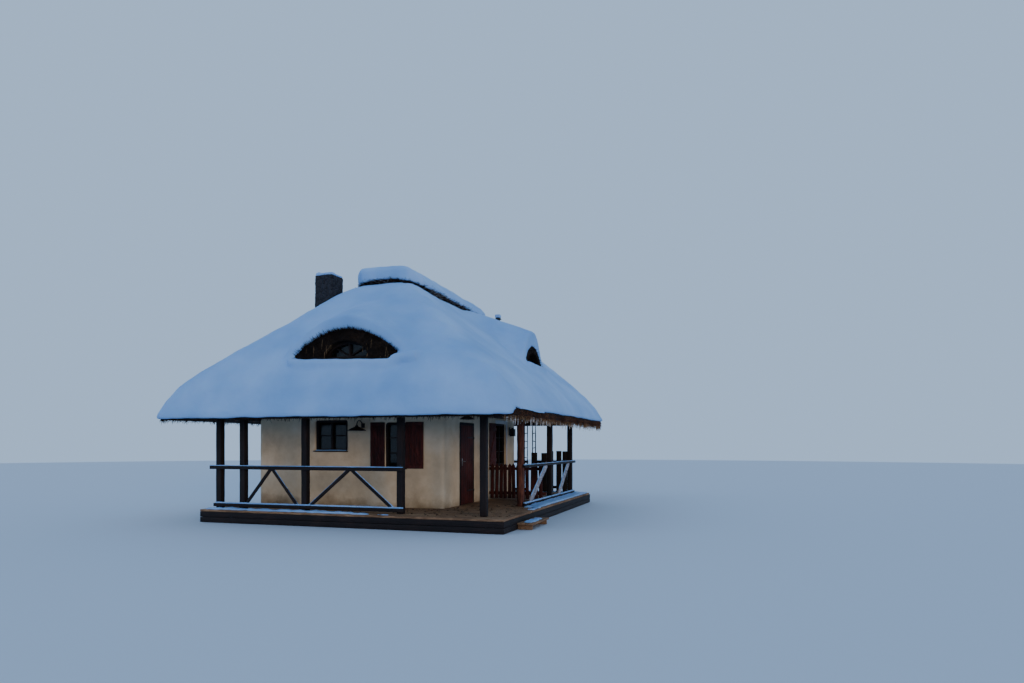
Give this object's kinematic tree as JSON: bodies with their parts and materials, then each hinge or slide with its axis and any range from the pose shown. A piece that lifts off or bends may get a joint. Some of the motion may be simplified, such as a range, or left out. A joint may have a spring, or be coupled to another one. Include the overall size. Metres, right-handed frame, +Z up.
{
  "type": "snow-covered thatched cottage",
  "caption": "One-storey reed-thatched cottage under snow, with eyebrow dormers, a chimney, plastered walls, a hinged entrance door and a timber veranda.",
  "frame": {"origin": "middle of the plan box of the roof at the lowest ground level", "axes": "+X to the right seen from the front, +Y from the front to the rear along the ridge, +Z up"},
  "size_m": [8.8, 9.15, 6.3036],
  "materials": {
    "reed": "matte",
    "snow": "matte",
    "stone": "matte",
    "board": "matte",
    "plaster": "matte",
    "timber": "matte",
    "glass": "gloss",
    "paint": "satin",
    "metal": "satin"
  },
  "bodies": {
    "cottage": {"roof_thatch": "reed", "ridge_cap": "reed", "roof_snow": "snow", "ridge_snow": "snow", "stone_footing": "stone", "ground_floor": "board", "front_wall": "plaster", "rear_wall": "plaster", "left_wall": "plaster", "right_wall_before_door": "plaster", "right_wall_over_door": "plaster", "right_wall_after_door": "plaster", "front_window_left_frame": "timber", "front_window_left_glass": "glass", "front_window_right_frame": "timber", "front_window_right_glass": "glass", "rear_window_frame": "timber", "rear_window_glass": "glass", "side_window_frame": "timber", "side_window_glass": "glass", "left_window_frame": "timber", "left_window_glass": "glass", "front_shutter_left": "paint", "front_shutter_right": "paint", "side_shutter": "paint", "door_frame": "timber", "veranda_deck": "board", "entrance_step": "board", "post_front_corner": "timber", "post_front_2": "timber", "post_front_3": "timber", "post_front_4": "timber", "post_front_left": "timber", "post_side_2": "timber", "post_side_3": "timber", "post_rear_corner": "timber", "post_rear_slim_a": "timber", "post_rear_slim_b": "timber", "post_rear_middle": "timber", "post_rear_left": "timber", "eave_beam": "timber", "attic_floor": "board", "eave_knee_boards": "board", "rear_gable": "board", "front_railing": "timber", "side_railing": "timber", "rear_railing": "timber", "rear_parapet": "board", "gallery_pickets": "paint", "front_dormer_frame": "timber", "front_dormer_glass": "glass", "side_dormer_frame": "timber", "side_dormer_glass": "glass", "chimney": "stone", "vent_pipe": "metal", "front_wall_lamp": "metal", "veranda_lamp": "metal", "side_wall_lantern": "metal"},
    "door_leaf": {"entrance_door": "paint"}
  },
  "joints": [
    {"name": "entrance_door_hinge", "type": "hinge", "parent": "cottage", "child": "door_leaf", "pos_m": [1.941, -0.3675, 1.3], "axis": [0, 0, 1], "range_deg": [0, 100]}
  ]
}
